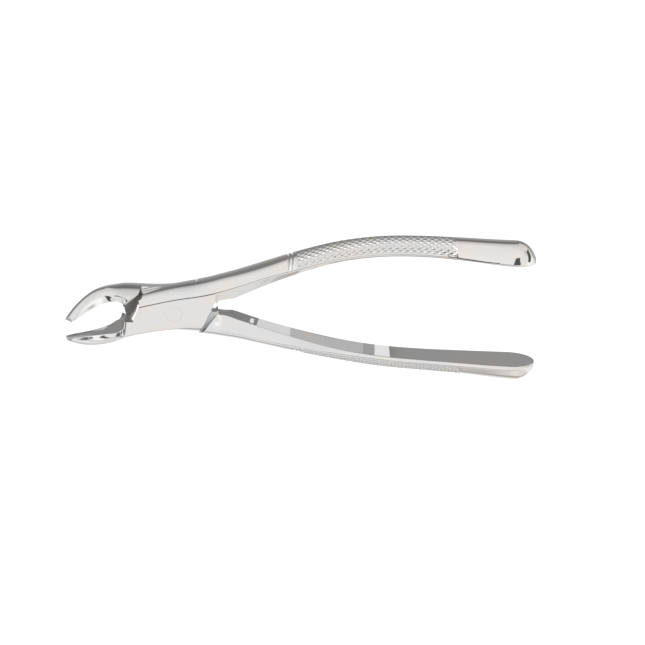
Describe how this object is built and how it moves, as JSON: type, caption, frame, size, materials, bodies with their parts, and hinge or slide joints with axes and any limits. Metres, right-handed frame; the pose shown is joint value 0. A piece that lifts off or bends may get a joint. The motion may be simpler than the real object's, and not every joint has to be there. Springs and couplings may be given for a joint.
{
  "type": "extraction forceps",
  "caption": "Polished steel dental forceps: crossed halves on a flush rivet, curved spoon-shaped beaks and cross-hatched handles with smooth flared ends.",
  "frame": {"origin": "on the hinge axis, at the rear end of the rivet, in the plane of the joint's rear face", "axes": "+Z along the hinge axis from the rear half's plate to the front half's plate, +X from the joint to the handle ends, +Y towards the front half's handle"},
  "size_m": [0.178, 0.0608, 0.0257],
  "materials": {
    "rear_half_steel": "mirror-polished stainless steel",
    "front_half_steel": "mirror-polished stainless steel",
    "rivet_steel": "ground flush and polished"
  },
  "bodies": {
    "rear_body": {"rear_half": "rear_half_steel", "hinge_rivet": "rivet_steel"},
    "front_body": {"front_half": "front_half_steel"}
  },
  "joints": [
    {"name": "hinge", "type": "hinge", "parent": "rear_body", "child": "front_body", "pos_m": [0, 0, 0.0055], "axis": [0, 0, 1], "range_deg": [-9.6, 20]}
  ]
}
